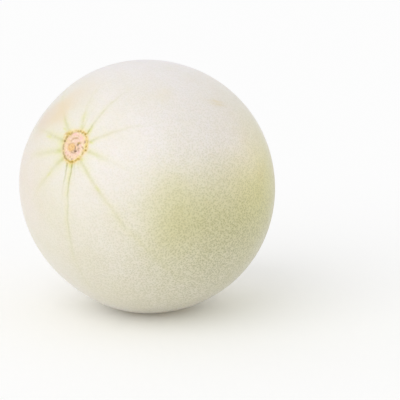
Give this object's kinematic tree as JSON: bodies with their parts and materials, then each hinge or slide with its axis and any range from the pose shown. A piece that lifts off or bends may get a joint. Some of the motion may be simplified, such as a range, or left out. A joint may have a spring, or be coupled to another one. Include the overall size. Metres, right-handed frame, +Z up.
{
  "type": "honeydew melon",
  "caption": "Whole ripe honeydew melon, smooth pale rind, corky stem scar with fine radiating veins, resting on its ground spot.",
  "frame": {"origin": "on the resting surface, under the middle of the bounding box", "axes": "+Z up; -Y is the front, where the stem scar faces, raised 28 degrees above the horizontal; +Y is the back, where the blossom end faces, low"},
  "size_m": [0.15, 0.156, 0.1502],
  "materials": {
    "rind": "satin"
  },
  "bodies": {
    "root": {"melon": "rind"}
  },
  "joints": []
}
